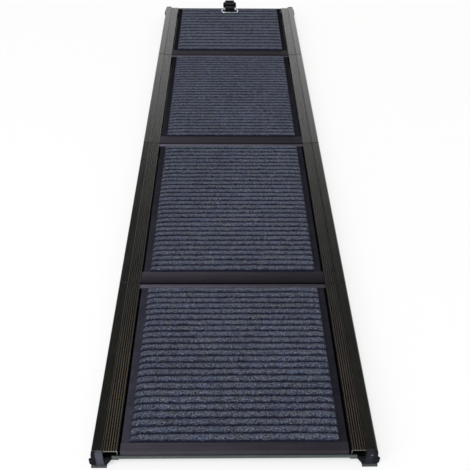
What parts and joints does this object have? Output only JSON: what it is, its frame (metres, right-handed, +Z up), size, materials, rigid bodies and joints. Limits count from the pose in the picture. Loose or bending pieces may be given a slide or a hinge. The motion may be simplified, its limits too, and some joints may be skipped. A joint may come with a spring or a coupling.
{
  "type": "folding dog ramp",
  "caption": "Long folding pet ramp of hinged panels with ribbed carpet, flush dark side rails with a ridged inner band, padded feet and a webbing tether with a ring and buckle at its upper end.",
  "frame": {"origin": "on the floor, under the middle of the open ramp: half way along its overall length with the tether, and half way across", "axes": "+X to the right for someone walking up, +Y up the ramp from the lower end to the upper end, +Z up; the ramp lies open and flat on its feet"},
  "size_m": [0.43, 1.736, 0.0433],
  "materials": {
    "rail": "dark satin anodised extrusion",
    "board": "dark purple-grey moulded board",
    "strip": "dark purple-grey, satin",
    "carpet": "blue-grey marl ribbed carpet",
    "hinge": "black, satin",
    "pin": "bright steel",
    "cap": "purple-grey moulded plastic",
    "pad": "grey-green rubber",
    "nose": "grey-green rubber strip",
    "ring": "polished",
    "webbing": "black woven webbing",
    "buckle": "black, glossy",
    "clamp": "black, satin"
  },
  "bodies": {
    "upper_middle_panel": {"upper_middle_left_rail": "rail", "upper_middle_right_rail": "rail", "upper_middle_board": "board", "upper_middle_lower_strip": "strip", "upper_middle_upper_strip": "strip", "upper_middle_carpet": "carpet", "upper_hinge_left_fixed_leaf": "hinge", "upper_hinge_left_pin": "pin", "upper_hinge_right_fixed_leaf": "hinge", "upper_hinge_right_pin": "pin", "spine_left_upper_leaf": "hinge", "spine_right_upper_leaf": "hinge"},
    "spine": {"spine_bar": "hinge", "spine_lower_pin": "pin", "spine_upper_pin": "pin"},
    "lower_middle_panel": {"lower_middle_left_rail": "rail", "lower_middle_right_rail": "rail", "lower_middle_board": "board", "lower_middle_lower_strip": "strip", "lower_middle_upper_strip": "strip", "lower_middle_carpet": "carpet", "lower_hinge_left_fixed_leaf": "hinge", "lower_hinge_left_pin": "pin", "lower_hinge_right_fixed_leaf": "hinge", "lower_hinge_right_pin": "pin", "spine_left_lower_leaf": "hinge", "spine_right_lower_leaf": "hinge"},
    "lower_end_panel": {"lower_end_left_rail": "rail", "lower_end_right_rail": "rail", "lower_end_board": "board", "lower_end_lower_strip": "strip", "lower_end_upper_strip": "strip", "lower_end_carpet": "carpet", "lower_hinge_left_moving_leaf": "hinge", "lower_hinge_right_moving_leaf": "hinge", "lower_end_left_cap": "cap", "lower_end_left_foot_pad": "pad", "lower_end_right_cap": "cap", "lower_end_right_foot_pad": "pad", "nose_strip": "nose"},
    "upper_end_panel": {"upper_end_left_rail": "rail", "upper_end_right_rail": "rail", "upper_end_board": "board", "upper_end_lower_strip": "strip", "upper_end_upper_strip": "strip", "upper_end_carpet": "carpet", "upper_hinge_left_moving_leaf": "hinge", "upper_hinge_right_moving_leaf": "hinge", "upper_end_left_cap": "cap", "upper_end_left_foot_pad": "pad", "upper_end_right_cap": "cap", "upper_end_right_foot_pad": "pad", "tether_webbing": "webbing", "tether_clamp": "clamp", "buckle_socket": "buckle"},
    "ring": {"tether_ring": "ring"},
    "plug": {"buckle_plug": "buckle", "tether_tail": "webbing"}
  },
  "joints": [
    {"name": "upper_end_fold", "type": "hinge", "parent": "upper_middle_panel", "child": "upper_end_panel", "pos_m": [0, 0.45197, 0.0035], "axis": [-1, 0, 0], "range_deg": [0, 180]},
    {"name": "upper_middle_fold", "type": "hinge", "parent": "upper_middle_panel", "child": "spine", "pos_m": [0, 0.00847, 0.0035], "axis": [1, 0, 0], "range_deg": [0, 90]},
    {"name": "lower_middle_fold", "type": "hinge", "parent": "spine", "child": "lower_middle_panel", "pos_m": [0, -0.06453, 0.0035], "axis": [1, 0, 0], "range_deg": [0, 90]},
    {"name": "lower_end_fold", "type": "hinge", "parent": "lower_middle_panel", "child": "lower_end_panel", "pos_m": [0, -0.50803, 0.0035], "axis": [1, 0, 0], "range_deg": [0, 180]},
    {"name": "ring_lift", "type": "hinge", "parent": "upper_end_panel", "child": "ring", "pos_m": [0, 0.77237, 0.0394], "axis": [1, 0, 0], "range_deg": [-100, 0]},
    {"name": "plug_pull", "type": "slide", "parent": "upper_end_panel", "child": "plug", "axis": [0, 0.9976, -0.0698], "range_m": [0, 0.025]}
  ]
}
